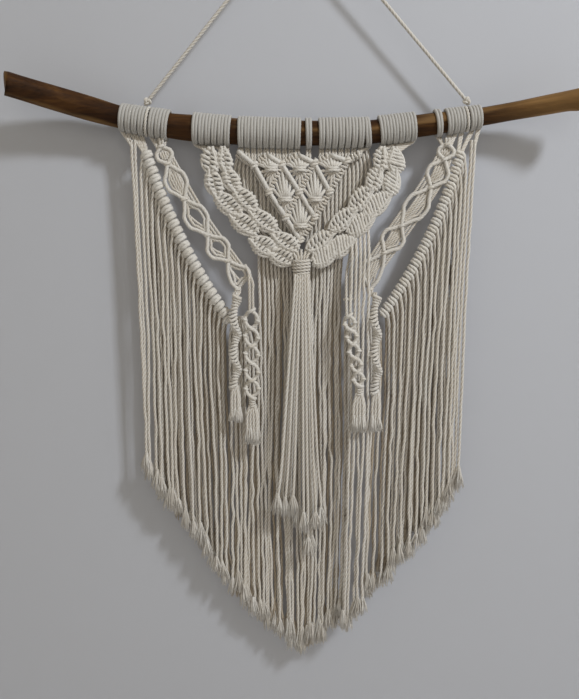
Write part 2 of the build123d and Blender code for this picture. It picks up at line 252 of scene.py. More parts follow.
class Bundle:
    """Cords gathered into one mesh, with how deep in a groove each point is, which sets the painted shade
    there, and how warm each point is.
    """

    def __init__(self):
        self.points, self.faces, self.groove, self.tone = [], [], [], []
        self.size = 0

    def add(self, points, faces, groove, tone):
        self.faces.extend((np.asarray(f) + self.size).tolist() for f in faces)
        self.points.append(points)
        self.groove.append(np.broadcast_to(groove, len(points)))
        self.tone.append(np.broadcast_to(tone, len(points)))
        self.size += len(points)

    def rope(self, route, radius=R, tone=None, step=STEP, lay=LAY, taper=None, groove=GROOVE):
        """One twisted three-ply cord along a route. Returns its line."""
        line = smooth_line(route, step)
        tangent = np.gradient(line, axis=0)
        tangent /= np.linalg.norm(tangent, axis=1)[:, None]
        side = carried_side(tangent)
        other = np.cross(tangent, side)
        reach = np.concatenate([[0], np.cumsum(np.linalg.norm(np.diff(line, axis=0), axis=1))])
        k = np.arange(CORD_SIDES)
        turn = (rng.uniform(0, math.tau) + math.tau * reach / lay)[:, None] + math.tau * k / CORD_SIDES
        in_groove = (k % PLY_SIDES == 0)
        width = radius * np.where(in_groove, groove, 1.0)[None, :]
        if taper is not None:
            width = width * np.interp(reach / reach[-1], taper[0], taper[1])[:, None]
        rings = (line[:, None, :] + (width * np.cos(turn))[..., None] * side[:, None, :]
                 + (width * np.sin(turn))[..., None] * other[:, None, :])
        # the groove share sets the painted shade between the plies, weaker where grooves are shallow
        self.add(rings.reshape(-1, 3), tube_faces(len(line), CORD_SIDES),
                 np.tile(in_groove.astype(float), len(line)) * min(1.0, (1 - groove) / (1 - GROOVE)),
                 rng.uniform(-1, 1) if tone is None else tone)
        return line

    def piece(self, name, body, nodes=(), blend=None, material=None, slot="cotton_cord"):
        """Writes the mesh as a named piece that rides on a body, or on none when a blend is given, and stands
        for CAD nodes.
        """
        mesh = bpy.data.meshes.new(name)
        mesh.from_pydata((np.vstack(self.points) * MM).tolist(), [], self.faces)
        mesh.polygons.foreach_set("use_smooth", np.ones(len(mesh.polygons), bool))
        for label, values in (("groove", self.groove), ("tone", self.tone)):
            mesh.attributes.new(label, "FLOAT", "POINT").data.foreach_set(
                "value", np.concatenate(values).astype(np.float32))
        mesh.materials.append(material or COTTON)
        mesh.update()
        made = add_object(name, mesh)
        if blend:
            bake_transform(made)
        else:
            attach(made, body)
        if nodes:
            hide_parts(*nodes)
        return made


def tube_faces(rings, sides):
    """Faces of a closed tube: quads between its rings and a cap at each end."""
    i = np.arange(rings - 1)[:, None] * sides
    k = np.arange(sides)[None, :]
    after = (k + 1) % sides
    quads = np.stack([i + k, i + after, i + sides + after, i + sides + k], axis=-1).reshape(-1, 4)
    last = (rings - 1) * sides
    return [*quads, np.arange(sides)[::-1], last + np.arange(sides)]


def frayed_end(bundle, end, down, length, spread, tone, fibres=FRAY_FIBRES):
    """The unravelled end of a cord: a brush of loose fibres that flare out from inside it."""
    side = unit(np.cross(down, [0.3, 1.0, 0.1]))
    other = np.cross(down, side)
    turn = rng.uniform(0, math.tau, fibres)
    out = np.sqrt((np.arange(fibres) + 0.5) / fibres)
    reach = length * rng.uniform(0.7, 1.0, fibres)
    share = np.array([0.0, 0.25, 0.6, 1.0])
    flare = np.array([0.0, 0.24, 0.66, 1.0])
    wide = out[:, None] * (R * 0.8 + (spread - R * 0.8) * flare[None, :])
    bend = turn[:, None] + rng.uniform(-0.6, 0.6, fibres)[:, None] * share[None, :]
    line = (end + (wide * np.cos(bend))[..., None] * side + (wide * np.sin(bend))[..., None] * other
            + (-2.0 + (reach[:, None] + 2.0) * share[None, :])[..., None] * down)
    thick = np.array(FIBRE_THICKNESS)
    for fibre in line:
        k = math.tau * np.arange(3) / 3
        ring = thick[:, None, None] * (np.cos(k)[None, :, None] * side + np.sin(k)[None, :, None] * other)
        bundle.add((fibre[:, None, :] + ring).reshape(-1, 3), tube_faces(4, 3),
                   rng.uniform(0.0, 0.7), tone - FRAY_PALER)


def loop(bundle, centre, wide, deep, radius=R, tilt=None, tone=None, count=12, start=0.0, groove=GROOVE):
    """A closed turn of cord around a centre, its half axes given as vectors."""
    turn = start + np.linspace(0, math.tau * 1.02, count + 1)
    route = centre + np.cos(turn)[:, None] * wide + np.sin(turn)[:, None] * deep
    if tilt is not None:
        route = route + np.cos(turn)[:, None] * tilt
    bundle.rope(route, radius, tone, step=STEP * 0.9, groove=groove)


def wrapped_bar(bundle, start, end, core=R, wrap=1.25, pitch=3.0, lean=0.5):
    """A holding cord with turns of cord hitched around it."""
    along = unit(end - start)
    length = np.linalg.norm(end - start)
    bundle.rope([start - along, (start + end) / 2, end + along], core)
    across = unit(np.cross(along, FRONT))
    count = max(1, int(round(length / pitch)))
    for index in range(count):
        centre = start + along * length * (index + 0.5) / count
        loop(bundle, centre, across * (core + wrap), FRONT * (core + wrap * 0.8), wrap,
             tilt=along * lean * (1 if index % 2 else -0.6), count=10)


# ---------------------------------------------------------------- materials

class Nodes:
    """Short calls for a material's node tree."""

    def __init__(self, name):
        self.material = bpy.data.materials.new(name)
        self.material.use_nodes = True
        self.tree = self.material.node_tree
        self.shader = self.tree.nodes["Principled BSDF"]

    def put(self, socket, value):
        """Links another node's output to a socket, or sets the socket's own value."""
        if isinstance(value, bpy.types.NodeSocket):
            self.tree.links.new(value, socket)
        else:
            socket.default_value = value

    def new(self, kind, **sockets):
        node = self.tree.nodes.new("ShaderNode" + kind)
        for label, value in sockets.items():
            self.put(node.inputs[label.replace("_", " ")], value)
        return node

    def shade(self, **sockets):
        for label, value in sockets.items():
            self.put(self.shader.inputs[label.replace("_", " ")], value)

    def noise(self, scale, detail, stretch=None):
        place = self.new("TexCoord").outputs["Object"]
        if stretch is not None:
            place = self.new("Mapping", Scale=stretch, Vector=place).outputs["Vector"]
        return self.new("TexNoise", Scale=scale, Detail=detail, Vector=place).outputs["Fac"]

    def attribute(self, label):
        node = self.new("Attribute")
        node.attribute_name = label
        return node.outputs["Fac"]

    def math(self, operation, *values):
        node = self.new("Math")
        node.operation = operation
        for socket, value in zip(node.inputs, values):
            self.put(socket, value)
        return node.outputs[0]

    def mix(self, share, a, b, blend="MIX"):
        node = self.new("Mix")
        node.data_type = "RGBA"
        node.blend_type = blend
        for label, value in (("Factor", share), ("A", a), ("B", b)):
            self.put([s for s in node.inputs if s.name == label and s.enabled][0], value)
        return [s for s in node.outputs if s.enabled][0]

    def ramp(self, share, stops):
        node = self.new("ValToRGB")
        while len(node.color_ramp.elements) < len(stops):
            node.color_ramp.elements.new(0.5)
        for element, (place, colour) in zip(node.color_ramp.elements, stops):
            element.position = place
            element.color = colour
        self.tree.links.new(share, node.inputs["Fac"])
        return node.outputs["Color"]

    def bump(self, height, strength, distance):
        node = self.new("Bump", Height=height, Strength=strength, Distance=distance)
        self.shade(Normal=node.outputs["Normal"])


def cotton(name, light, groove_shade_colour, warm):
    """Twisted cotton: pale fibres, painted warm shade in the grooves between plies, soft sheen, fuzzy bump.
    """
    m = Nodes(name)
    fibre = m.noise(900, 4)
    blotch = m.noise(26, 2)
    groove = m.math("POWER", m.attribute("groove"), 1.4)
    tone = m.math("MULTIPLY_ADD", m.attribute("tone"), 0.28, 0.30)
    base = m.mix(m.math("MAXIMUM", tone, 0.0), light, warm)
    base = m.mix(m.math("MULTIPLY", blotch, 0.45), base, warm)
    # painted shade: points deep in a groove between plies turn towards the groove shade colour
    base = m.mix(m.math("MULTIPLY", groove, 0.75), base, groove_shade_colour)
    base = m.mix(0.3, base, m.ramp(fibre, [(0.3, (0.70, 0.68, 0.65, 1)), (0.7, (1, 1, 1, 1))]), "MULTIPLY")
    m.shade(Base_Color=base, Roughness=0.92, Specular_IOR_Level=0.15, Sheen_Weight=0.25, Sheen_Roughness=0.6)
    m.bump(fibre, 0.55, 0.0004)
    return m.material


def driftwood():
    """Bare weathered wood: grain along the stick, dark stains, worn paler ridges."""
    m = Nodes("driftwood_bare")
    grain = m.noise(60, 5, stretch=(0.08, 1.6, 1.6))
    fine = m.noise(420, 4, stretch=(0.06, 1.3, 1.3))
    stain = m.noise(14, 3, stretch=(1.0, 1.4, 1.4))
    pale = m.attribute("tone")
    wood = m.ramp(grain, [(0.30, (0.026, 0.010, 0.003, 1)), (0.48, (0.060, 0.024, 0.006, 1)),
                          (0.62, (0.092, 0.040, 0.010, 1)), (0.80, (0.13, 0.056, 0.014, 1))])
    streak = m.ramp(fine, [(0.35, (0.45, 0.40, 0.36, 1)), (0.6, (1, 1, 1, 1))])
    wood = m.mix(0.65, wood, streak, "MULTIPLY")
    dark = m.ramp(stain, [(0.35, (0.35, 0.28, 0.22, 1)), (0.58, (1, 1, 1, 1))])
    wood = m.mix(0.8, wood, dark, "MULTIPLY")
    wood = m.mix(pale, wood, (0.33, 0.19, 0.072, 1))
    wood = m.mix(m.attribute("groove"), wood, (0.03, 0.014, 0.006, 1))
    rough = m.new("MapRange", Value=fine, To_Min=0.45, To_Max=0.72).outputs[0]
    m.shade(Base_Color=wood, Roughness=rough, Specular_IOR_Level=0.15)
    m.bump(m.math("ADD", grain, m.math("MULTIPLY", fine, 0.6)), 0.6, 0.0012)
    return m.material


COTTON = cotton("twisted_cotton", (0.83, 0.825, 0.82, 1), (0.42, 0.345, 0.26, 1), (0.70, 0.65, 0.57, 1))
# the wraps on the branch: the same cotton made darker, as painted shade
WRAPS_PAINTED_SHADE = cotton("wrapped_cotton_painted_shade", (0.55, 0.545, 0.54, 1), (0.28, 0.235, 0.18, 1), (0.47, 0.45, 0.41, 1))
# the strands behind: the same cotton made darker and warmer, as painted shade in the gaps
BACK_LAYER_PAINTED_SHADE = cotton("back_cotton_painted_shade", (0.60, 0.53, 0.44, 1), (0.34, 0.27, 0.19, 1), (0.52, 0.44, 0.34, 1))
HANGER = cotton("hanger_cotton", (0.78, 0.775, 0.76, 1), (0.48, 0.42, 0.35, 1), (0.70, 0.665, 0.61, 1))
WOOD = driftwood()


# ---------------------------------------------------------------- branch and hanger

def branch_mesh():
    """The driftwood branch: lumpy, ridged along the grain, with knots and cut ends."""
    sides = 48
    x0, x1 = BRANCH_STATIONS[0, 0], BRANCH_STATIONS[-1, 0]
    xs = np.linspace(x0, x1, 220)
    kernel = np.hanning(19)
    kernel /= kernel.sum()
    path = np.column_stack([np.interp(xs, BRANCH_STATIONS[:, 0], BRANCH_STATIONS[:, k]) for k in range(1, 4)])
    padded = np.pad(path, ((9, 9), (0, 0)), mode="reflect", reflect_type="odd")
    path = np.column_stack([np.convolve(padded[:, k], kernel, "valid") for k in range(3)])
    line = np.column_stack([xs, path[:, :2]])
    radius = path[:, 2]
    tangent = np.gradient(line, axis=0)
    tangent /= np.linalg.norm(tangent, axis=1)[:, None]
    side = carried_side(tangent)
    other = np.cross(tangent, side)
    k = math.tau * np.arange(sides) / sides
    phase = rng.uniform(0, math.tau, 24)
    lumps = np.zeros((len(xs), sides))
    for order, size, wave in BRANCH_LUMPS:
        a, b = phase[order % 24], phase[(order * 5) % 24]
        lumps += size * np.sin(order * k[None, :] + a + 1.6 * np.sin(xs[:, None] / wave + b))
    lumps += 0.012 * np.sin(xs[:, None] / 17 + phase[7]) + 0.010 * np.sin(xs[:, None] / 7.3 + phase[9])
    lumps -= 0.012
    points = line[:, None, :] + (radius[:, None] * (1 + lumps))[..., None] * (
        np.cos(k)[None, :, None] * side[:, None, :] + np.sin(k)[None, :, None] * other[:, None, :])
    pit = np.zeros((len(xs), sides))
    pale = np.clip(0.42 * (lumps / 0.05), 0, 0.45)
    for x, y, z, size in BRANCH_KNOTS:
        eye = np.array([x, y, z]) + unit(np.array([0, y, z]) - np.array([0, *branch_at(x)[0][1:]])) * size
        gap = np.linalg.norm(points - eye, axis=2)
        out = unit(eye - branch_at(x)[0])
        raised = np.exp(-(gap / (size * 0.8)) ** 2) * 2.2
        sunk = np.exp(-(gap / (size * 0.34)) ** 2) * 2.4
        points += (raised - sunk)[..., None] * out
        pit += np.exp(-(gap / (size * 0.36)) ** 2) * 0.85
    bundle = Bundle()
    rings = [points]
    for end, way in ((0, -1), (-1, 1)):
        rim = points[end]
        centre = rim.mean(0)
        out = tangent[end] * way
        slope = (rim - centre) @ np.array([0.0, 0.2, 1.0]) * (0.28 if way < 0 else 0.10)
        caps = []
        for share, rise in ((0.93, 1.2), (0.72, 1.9), (0.42, 2.1), (0.14, 2.0)):
            lean = (slope * share)[:, None] * out * way * -1
            caps.append(centre + (rim - centre) * share + out * rise + lean)
        caps = np.array(caps)
        rings = [caps[::-1], *rings] if way < 0 else [*rings, caps]
    allrings = np.concatenate(rings)
    cut = np.zeros((len(allrings), sides))
    cut[4:-4] = pit
    tone = np.zeros_like(cut)
    tone[4:-4] = pale
    tone[:4] = 0.35
    tone[-4:] = 0.35
    tone += 0.5 * np.clip((np.linspace(x0, x1, len(allrings)) - 165) / 60, 0, 1)[:, None]
    bundle.add(allrings.reshape(-1, 3), tube_faces(len(allrings), sides),
               np.clip(cut, 0, 1).reshape(-1), np.clip(tone, 0, 0.9).reshape(-1))
    bundle.piece("driftwood_branch_bare", "branch", ["driftwood_branch"], material=WOOD,
                 slot="driftwood")


def around_branch(x, turn, reach, shift=0.0):
    """A point on a turn around the branch: turn 0 is in front, 90 on top, 180 at the back."""
    centre, along, radius = branch_at(x)
    up = unit(np.cross(along, FRONT))
    up = up * (1 if up[2] > 0 else -1)
    angle = math.radians(turn)
    return centre + along * shift + (FRONT * math.cos(angle) + up * math.sin(angle)) * (radius + reach)


def hanger_exit(side):
    """Where the hanger cord leaves its knot, on the line to the hook."""
    centre, _, radius = branch_at(TIE_X[side])
    knot = np.array([TIE_X[side], 0, centre[2] + radius + CLEARANCE + HANGER_CORD + TIE_KNOT_RISE])
    return knot, knot + unit(np.array([0, 0, HOOK_CORNER_Z]) - knot) * (TIE_KNOT + 0.2)


def hanger():
    """The taut hanger cord over the hook, and a knot and a turn of it at each end."""
    corner = np.array([0, 0, HOOK_CORNER_Z])
    exits = {side: hanger_exit(side)[1] for side in SIDES}
    route = []
    ways = {side: unit(exits[side] - corner) for side in SIDES}
    half = math.acos(float(ways["left"] @ ways["right"])) / 2
    reach = HOOK_TURN_RADIUS / math.tan(half)
    centre = corner + np.array([0, 0, -HOOK_TURN_RADIUS / math.sin(half)])
    for share in np.linspace(0, 1, 12):
        route.append(exits["left"] + (corner + ways["left"] * reach - exits["left"]) * share)
    swing = math.pi / 2 - half
    for turn in np.linspace(-swing, swing, 7)[1:-1]:
        route.append(centre + HOOK_TURN_RADIUS * np.array([math.sin(turn), 0, math.cos(turn)]))
    for share in np.linspace(0, 1, 12):
        touch = corner + ways["right"] * reach
        route.append(touch + (exits["right"] - corner - ways["right"] * reach) * share)
    bundle = Bundle()
    line = bundle.rope(route, HANGER_CORD / 2, 0.1, lay=13.0)
    cord = bundle.piece("hanger_cord_twisted", "hanger", ["hanger_cord"], material=HANGER,
                        slot="hanger_cord")
    for side in SIDES:
        knot, leave = hanger_exit(side)
        bundle = Bundle()
        turn = np.linspace(0, math.tau, 25)
        across = unit(leave - knot)
        other = unit(np.cross(across, FRONT))
        trefoil = (knot + (np.sin(turn) + 2 * np.sin(2 * turn))[:, None] * other * 0.95
                   + (np.cos(turn) - 2 * np.cos(2 * turn))[:, None] * across * 0.95
                   - np.sin(3 * turn)[:, None] * FRONT * 1.3)
        bundle.rope(trefoil, 1.55, 0.1, step=1.0)
        bundle.rope([knot - across * 2, knot + across, leave + across * 1.2], HANGER_CORD / 2 * 0.96, 0.1)
        ring = [around_branch(TIE_X[side], a, 1.75 + CLEARANCE * 0.4, -0.2) for a in range(90, 451, 24)]
        bundle.rope(ring, 1.6, 0.1)
        bundle.piece("hanger_tie_" + side, "hanger", ["hanger_knot_" + side], material=HANGER,
                     slot="hanger_cord")


# ---------------------------------------------------------------- lark's heads

HEAD_TURNS = [255, 225, 195, 165, 135, 105, 75, 45, 15, -15, -45, -70, -92]


def net_edge(x):
    """Drop of the net's upper zigzag at an x."""
    corners = sorted(NET_ROWS[0] + NET_ROWS[1])
    return np.interp(x, [c[0] for c in corners], [c[1] for c in corners])


def strand_target(group, index, count, x):
    """Where the strand under a wrap goes: the place where the knots under it begin."""
    side = "left" if x < 0 else "right"
    way = -1 if side == "left" else 1
    if group.startswith("centre"):
        return at(np.clip(x, -57.5, 55.5), net_edge(x) - 1.0, NET_Y + 0.5)
    if group.endswith("inner"):
        outer = index < count / 2 if side == "left" else index >= count / 2
        share = (index % (count / 2)) / (count / 2) - 0.4
        place, wide, drop = (87.5, 9.0, 17.5) if outer else (74.0, 7.0, 17.0)
        return at(way * place + wide * share, drop, LEAF_Y + 3)
    crossing = BAND_CROSSINGS[side][0]
    order = abs(x)
    if order > 163.5:
        return at(way * (162.4 if side == "left" else 163.4), 12, -4.5)
    if order > 146:
        return at(way * (149.5 + (order - 155) * 0.35), 17, ROW_Y)
    return at(crossing[0] + (x - crossing[0]) * 0.42, crossing[1] + 2, ROW_Y + 1)


def larks_heads(node):
    """A group of lark's heads: two turns of each folded cord, its bar behind, and its strands."""
    group = node.removeprefix("mount_knots_")
    wraps = Bundle()
    strands = Bundle()
    rings = solids(node)
    wrap_x = [middle(ring)[0] + way * 1.5 for ring in rings for way in (-1, 1)]
    for index, x in enumerate(wrap_x):
        way = -1 if index % 2 == 0 else 1
        route = []
        for turn in HEAD_TURNS:
            pinch = np.clip((30 - turn) / 90, 0, 1) * 0.42
            route.append(around_branch(x - way * pinch, turn, 1.6 + rng.normal(0, 0.06)))
        wraps.rope(route, WRAP_RADIUS, rng.uniform(-1.0, -0.4), groove=WRAP_GROOVE)
        under = around_branch(x - way * 0.4, -92, 1.5)
        target = strand_target(group, index, len(wrap_x), x)
        strands.rope([under + [0, 3.5, 3.0], under + [0, 0.6, -1.2], (under * 0.45 + target * 0.55), target,
                      target + [0, 1.5, -4]], R, rng.uniform(-0.6, 0.8))
    for ring in rings:
        x = middle(ring)[0]
        bar = ((-2.6, 205, 3.2), (0, 207, 4.2), (2.6, 205, 3.2))
        wraps.rope([around_branch(x + aside, turn, reach) for aside, turn, reach in bar], R)
    # the wraps take the darker cotton: painted shade
    wraps.piece("larks_heads_" + group, "branch", [node], material=WRAPS_PAINTED_SHADE)
    strands.piece("strands_under_" + group, None, blend=blend_at("branch", "curtain", -0.003, 13, 19))


# ---------------------------------------------------------------- wings

def hang(x, y, top, bottom, sway=1.2):
    """A route down one strand: nearly straight, drifting and kinking a little as real cord does."""
    count = max(3, int((bottom - top) / 13) + 1)
    drops = np.linspace(top, bottom, count)
    settle = np.clip((drops - top) / 50, 0, 1)
    drift = np.cumsum(rng.normal(0, 0.26, count)) * sway
    kink = rng.normal(0, 0.22, count) * sway
    shared = 0.9 * np.sin(drops / 61 + x / 19) * sway
    depth = np.clip(np.cumsum(rng.normal(0, 0.16, count)) * sway, -1.6, 1.0)
    across = (drift - drift[0] + kink + shared) * settle
    return np.array([at(x + a, drop, y + b) for a, b, drop in zip(across, depth * settle, drops)])


def hanging_strand(bundle, route, tone=None, fray=FRAY, spread=FRAY_SPREAD, step=STEP, ends=None):
    """One strand down a route, frayed over its last stretch. Returns its whole line."""
    tone = rng.uniform(-1, 0.5) if tone is None else tone
    route = np.asarray(route, float)
    down = unit(route[-1] - route[-2])
    fray = fray * rng.uniform(0.8, 1.25)
    route[-1] = route[-1] - down * fray
    line = bundle.rope(route, STRAND_RADIUS, tone, step=step, lay=STRAND_LAY * rng.uniform(0.8, 1.2),
                       taper=([0, 0.985, 1], [1, 1, 0.7]))
    frayed_end(bundle if ends is None else ends, line[-1], down, fray, spread * rng.uniform(0.75, 1.05), tone)
    return line


def layers(node):
    """A node's strands as x, y, top and bottom drops: those in front, then those behind."""
    front, back = [], []
    for solid in solids(node):
        place = (*middle(solid)[:2], BRANCH_Z - solid[:, 2].max(), BRANCH_Z - solid[:, 2].min())
        (back if place[1] > BACK_LAYER_FROM else front).append(place)
    return front, back


ROW_RIBS = {"left": (2.3, 0.95), "right": (1.78, 0.86)}


def wing(side):
    """A slanting row of double half hitches, each turning into two strands of the fringe."""
    out = np.array([-1.0, 0, 0]) if side == "left" else np.array([1.0, 0, 0])
    hitches = sorted(solids("wing_row_" + side), key=lambda s: -s[:, 2].mean())
    centres = np.array([middle(h) for h in hitches])
    ahead = np.gradient(centres, axis=0)
    body = side + "_wing"
    rib, depth = ROW_RIBS[side]
    row = Bundle()
    first, last = centres[0] - ahead[0] * 0.6, centres[-1] + ahead[-1] * 0.6
    row.rope([first, *centres[2:-2:3], last], R)
    row.piece("holding_cord_in_row_" + side, body, ["holding_cord_" + side])
    row = Bundle()
    parts = ("outer", "middle", "inner")
    places = {part: layers("wing_fringe_%s_%s" % (part, side)) for part in parts}
    fringe = {part: Bundle() for part in parts}
    back_layer = Bundle()
    strands = [s for part in parts for s in sorted(places[part][0], key=lambda s: s[2])]
    behind = [s for part in parts for s in sorted(places[part][1], key=lambda s: s[2])]
    for index, (centre, step) in enumerate(zip(centres, ahead)):
        along = unit(step)
        across = unit(np.cross(along, FRONT))
        across = across * (1 if across @ out > 0 else -1)
        tone = rng.uniform(-1, 0.3)
        loop(row, centre + along * 1.7, across * 3.7, FRONT * 3.1, rib, tilt=along * 0.9, tone=tone,
             groove=depth)
        bundle = fringe[parts[index // 8]]
        x, y, top, bottom = strands[index]
        head = centre - along * 1.5
        start = [head - across * 2.2 + [0, 2.6, 0], head - across * 3.4, head - across * 2.2 + FRONT * 2.7,
                 head + FRONT * 3.3, head + across * 3.0 + FRONT * 2.4 + DOWN * 1.0]
        row.rope(start + [head + across * 4.6 + DOWN * 3], rib, tone, groove=depth)
        hanging_strand(bundle, [*start[3:], *hang(x, y, top + 9, bottom + rng.uniform(-4, 6))], tone)
        x, y, top, bottom = behind[index]
        start = [centre + across * 1.5 + [0, 2.5, 0], centre + across * 3.5 + [0, 5, -3]]
        route = [*start, *hang(x, y, top + 9, bottom + rng.uniform(-8, 4))]
        hanging_strand(back_layer, route, step=BACK_STEP)
    ends = Bundle()
    # the strands behind take the darker, warmer cotton: painted shade
    back_layer.piece("fringe_back_layer_" + side, body, material=BACK_LAYER_PAINTED_SHADE)
    row.piece("hitches_" + side, body, ["wing_row_" + side])
    for part, bundle in fringe.items():
        bundle.piece("fringe_%s_%s" % (part, side), body, ["wing_fringe_%s_%s" % (part, side)])
    for index, (x, y, top, bottom) in enumerate(layers("outer_strands_" + side)[0]):
        bundle = Bundle()
        line = hanging_strand(bundle, hang(x, y, top + 1, bottom, 0.8), ends=ends)
        piece = bundle.piece("outer_strand_%s_%d" % (side, index + 1), body,
                             ["outer_strands_" + side] if index == 0 else [])
    ends.piece("outer_frayed_ends_" + side, body)


def band(side):
    """A chain of diamonds: smooth bars that cross, a second cord inside, and strands between."""
    inward = 1 if side == "left" else -1
    crossings = [at(x, drop, ROW_Y) for x, drop in BAND_CROSSINGS[side]]
    bundle = Bundle()
    corners = []
    for top, foot, half in zip(crossings, crossings[1:], BAND_HALF_WIDTHS):
        last = foot is crossings[-1]
        axis = unit(foot - top)
        across = np.cross(axis, [0, 1, 0]) * inward
        centre = (top + foot) / 2 + [inward * LAST_DIAMOND_SHIFT if last else 0.0, 0, 0]
        corners.append({way: centre + across * half * way for way in (-1, 1)})
        span = np.linalg.norm(foot - top)
        for way in (-1, 1):
            corner = corners[-1][way]
            nose = axis * span * 0.13
            over = [0, -1.8 if way < 0 else -0.2, 0]
            edge = [top, (top + corner) / 2 - axis * 0.6 + across * way * 1.0, corner - nose, corner + nose,
                    (foot + corner) / 2 + axis * 0.6 + across * way * 1.0, foot]
            bundle.rope(np.array(edge) + over, BAND_BAR, -0.4, groove=0.88)
            a, b = top + axis * 4.2, foot - axis * 4.2
            inner = corner - across * way * 4.0
            edge = [a, (a + inner) / 2 + across * way * 0.9, inner - nose * 0.9, inner + nose * 0.9,
                    (b + inner) / 2 + across * way * 0.9, b]
            if side == "left" or way < 0:
                bundle.rope(np.array(edge) + [0, 0.6, 0], 1.5, groove=0.82)
        filled = side == "right" or top is crossings[0] or top is crossings[1]
        strands = (-3.6, -0.9, 1.8, 4.5) if filled else ()
        for offset in strands:
            reach = axis * span * (0.46 - 0.26 * abs(offset) / half)
            start, end = centre + across * offset - reach, centre + across * offset * 0.7 + reach
            bundle.rope([start + [0, 1.8, 0], (start + end) / 2 + FRONT * 0.2, end + [0, 1.8, 0]], 1.45)
        if not strands:
            arc = [centre + across * half * 0.66 + axis * span * 0.1,
                   centre + across * half * 0.5 - axis * span * 0.14,
                   centre - axis * span * 0.27, centre - across * half * 0.3 - axis * span * 0.24]
            bundle.rope(np.array(arc) + [0, 2.2, 0], 1.4)
            slit = [centre - across * half * 0.62 - axis * span * 0.24,
                    centre - across * half * 0.34 + axis * span * 0.04,
                    centre + across * half * 0.1 + axis * span * 0.3]
            bundle.rope(np.array(slit) + [0, 1.6, 0], 1.35)
    for place, before, after in zip(crossings[1:], corners, corners[1:]):
        for way in (1,) if side == "left" else (1, -1):
            for share in (0.34, 0.62, 0.9):
                start = place + (before[way] - place) * share
                end = place + (after[way] - place) * share
                bundle.rope([start + [0, 1.6, 0], (start + end) / 2 + [0, 0.4, 0], end + [0, 1.6, 0]], 1.4)
    for place in crossings:
        loop(bundle, place + FRONT * 1.2, np.array([2.4, 0, 0.8]), FRONT * 2.2, 1.5, count=10, groove=0.85)
    for way in (-1.5, 1.5):
        head = at(BAND_CROSSINGS[side][0][0] + way, 4, ROW_Y)
        bundle.rope([head, crossings[0] + [way * 0.7, 0.5, 0]], 1.5)
    bundle.piece("diamonds_" + side, side + "_wing", ["diamond_band_" + side])


# ---------------------------------------------------------------- centre

def leaf_motif(bundle, centre, along, half_length, half_width, ribbed):
    """A leaf, pointed at its upper end: smooth edge cords, and ribs or double knots across it."""
    across = unit(np.cross(along, FRONT))
    across = across * (1 if across[2] > 0 else -1)

    def width(t, inset):
        share = t / half_length
        return max(1.2, (half_width - inset) * (1 - abs(share) ** 2) * (1.1 - 0.3 * share))

    for way, radius, inset in ((-1, 1.8, 0.2), (1, 1.5, 0.8), (-1, 1.5, 3.2)):
        edge = [centre + along * t + across * way * width(t, inset) + FRONT * (1.0 + inset * 0.5)
                for t in np.linspace(-1, 1.06, 9) * (half_length - inset * 0.6)]
        bundle.rope(edge, radius, -0.5, groove=0.86)
    lean = 0.6 * (1 if along[0] >= 0 else -1)
    pitch = 3.3 if ribbed else 4.2
    count = int(2 * half_length / pitch)
    halves = (0,) if ribbed else (-1, 1)
    for index in range(count * len(halves)):
        half = halves[index % len(halves)]
        t = -half_length + 1.6 + (2 * half_length - 3.0) * (index + 0.5) / (count * len(halves))
        wide = width(t, 0.2)
        puff = (0.55 + 0.35 * wide / half_width) * rng.uniform(0.85, 1.15)
        profile = ((0.98, 1.8), (1.02, -0.8), (0.6, -3.2), (0.2, -2.4), (-0.1, 0.4)) if half else (
            (-0.96, 1.8), (-1.04, -0.8), (-0.5, -3.0), (0.1, -2.7), (0.6, -3.0), (1.0, -0.4), (0.9, 1.8))
        way = half if half else 1
        rib = [centre + along * (t + lean * share * wide * way * 0.6) + across * share * wide * way
               + [rng.normal(0, 0.25), depth * puff, rng.normal(0, 0.25)] for share, depth in profile]
        bundle.rope(rib, LEAF_RIB + rng.uniform(-0.15, 0.15), rng.uniform(-1, 0.2), groove=0.86)


LEAF_SCALE = (1.3, 1.12)
LEAF_TURN = {"outer": 12.0, "inner": 6.0}


def leaf_bands():
    """The two rows of leaves on each side of the V, and the cords that run between them."""
    for side in SIDES:
        centres = {}
        for row in ("outer", "inner"):
            bundle = Bundle()
            line = []
            for solid in sorted(solids("leaf_band_%s_%s" % (side, row)), key=lambda g: -g[:, 2].mean()):
                centre, along, half_length = long_axis(solid)
                across = np.cross(along, FRONT)
                half_width = np.abs((solid - centre) @ across).max() * LEAF_SCALE[1]
                centre = middle(solid)
                way = 1 if along[0] > 0 else -1
                turn = math.radians(LEAF_TURN[row]) * way * (centre[2] < BRANCH_Z - 50)
                along = np.array([along[0] * math.cos(turn) + along[2] * math.sin(turn), 0,
                                  along[2] * math.cos(turn) - along[0] * math.sin(turn)])
                parts = 2 if half_length > 18 else 1
                size = half_length * LEAF_SCALE[0] / parts * (1.1 if parts > 1 else 1.0)
                for part in range(parts):
                    shift = (part - (parts - 1) / 2) * 0.86 * half_length * -1
                    leaf_motif(bundle, centre + along * shift, along, size, half_width,
                               side == "right" and row == "outer")
                    line.append(centre + along * shift)
            centres[row] = smooth_line(line, 6.0)
            bundle.piece("leaves_%s_%s" % (side, row), "curtain", ["leaf_band_%s_%s" % (side, row)])
        bundle = Bundle()
        outer, inner = (row[np.linspace(0, len(row) - 1, 12).astype(int)] for row in centres.values())
        for share in np.linspace(-0.25, 1.25, 9):
            route = outer + (inner - outer) * share + [0, 3.4, 0]
            bundle.rope([route[0] + [0, 1, 6], *route, at(-2 + (share - 0.5) * 4, 117, LEAF_Y + 2)], R, 0.2)
        bundle.piece("cords_between_leaves_" + side, "curtain")


